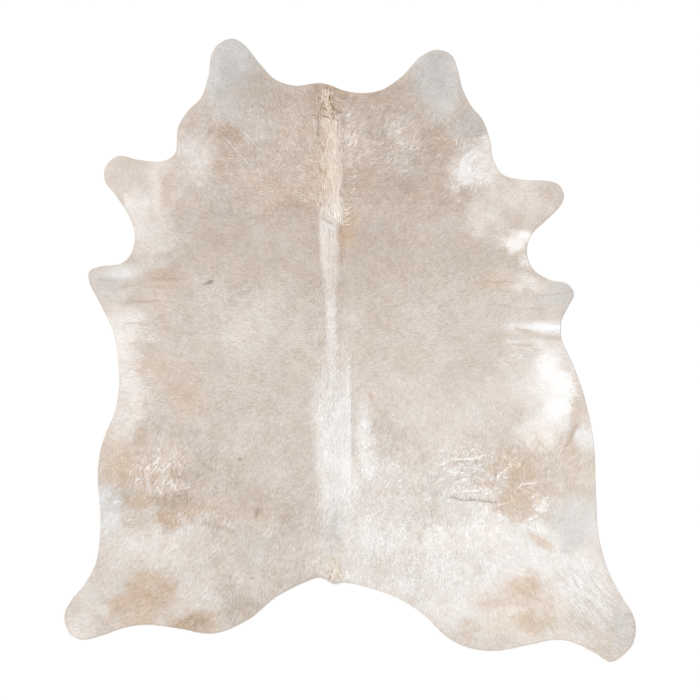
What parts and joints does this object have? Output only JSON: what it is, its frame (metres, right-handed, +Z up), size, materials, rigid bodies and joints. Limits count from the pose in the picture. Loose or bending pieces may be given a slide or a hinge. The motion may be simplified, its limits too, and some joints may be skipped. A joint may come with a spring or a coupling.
{
  "type": "cowhide rug",
  "caption": "Flat hair-on cowhide rug cut to the outline of a whole hide, pale beige to cream, with a raised cream hair crest along the spine.",
  "frame": {"origin": "under the middle of the outline's box, on the face that lies on the floor", "axes": "+Y along the spine towards the neck, +X to the right seen from above, +Z up out of the coat"},
  "size_m": [2.3054, 2.515, 0.005],
  "materials": {
    "coat": "short hair lying flat, pale beige with cream and tan patches, soft sheen; plain suede underneath"
  },
  "bodies": {
    "root": {"hide": "coat"}
  },
  "joints": []
}
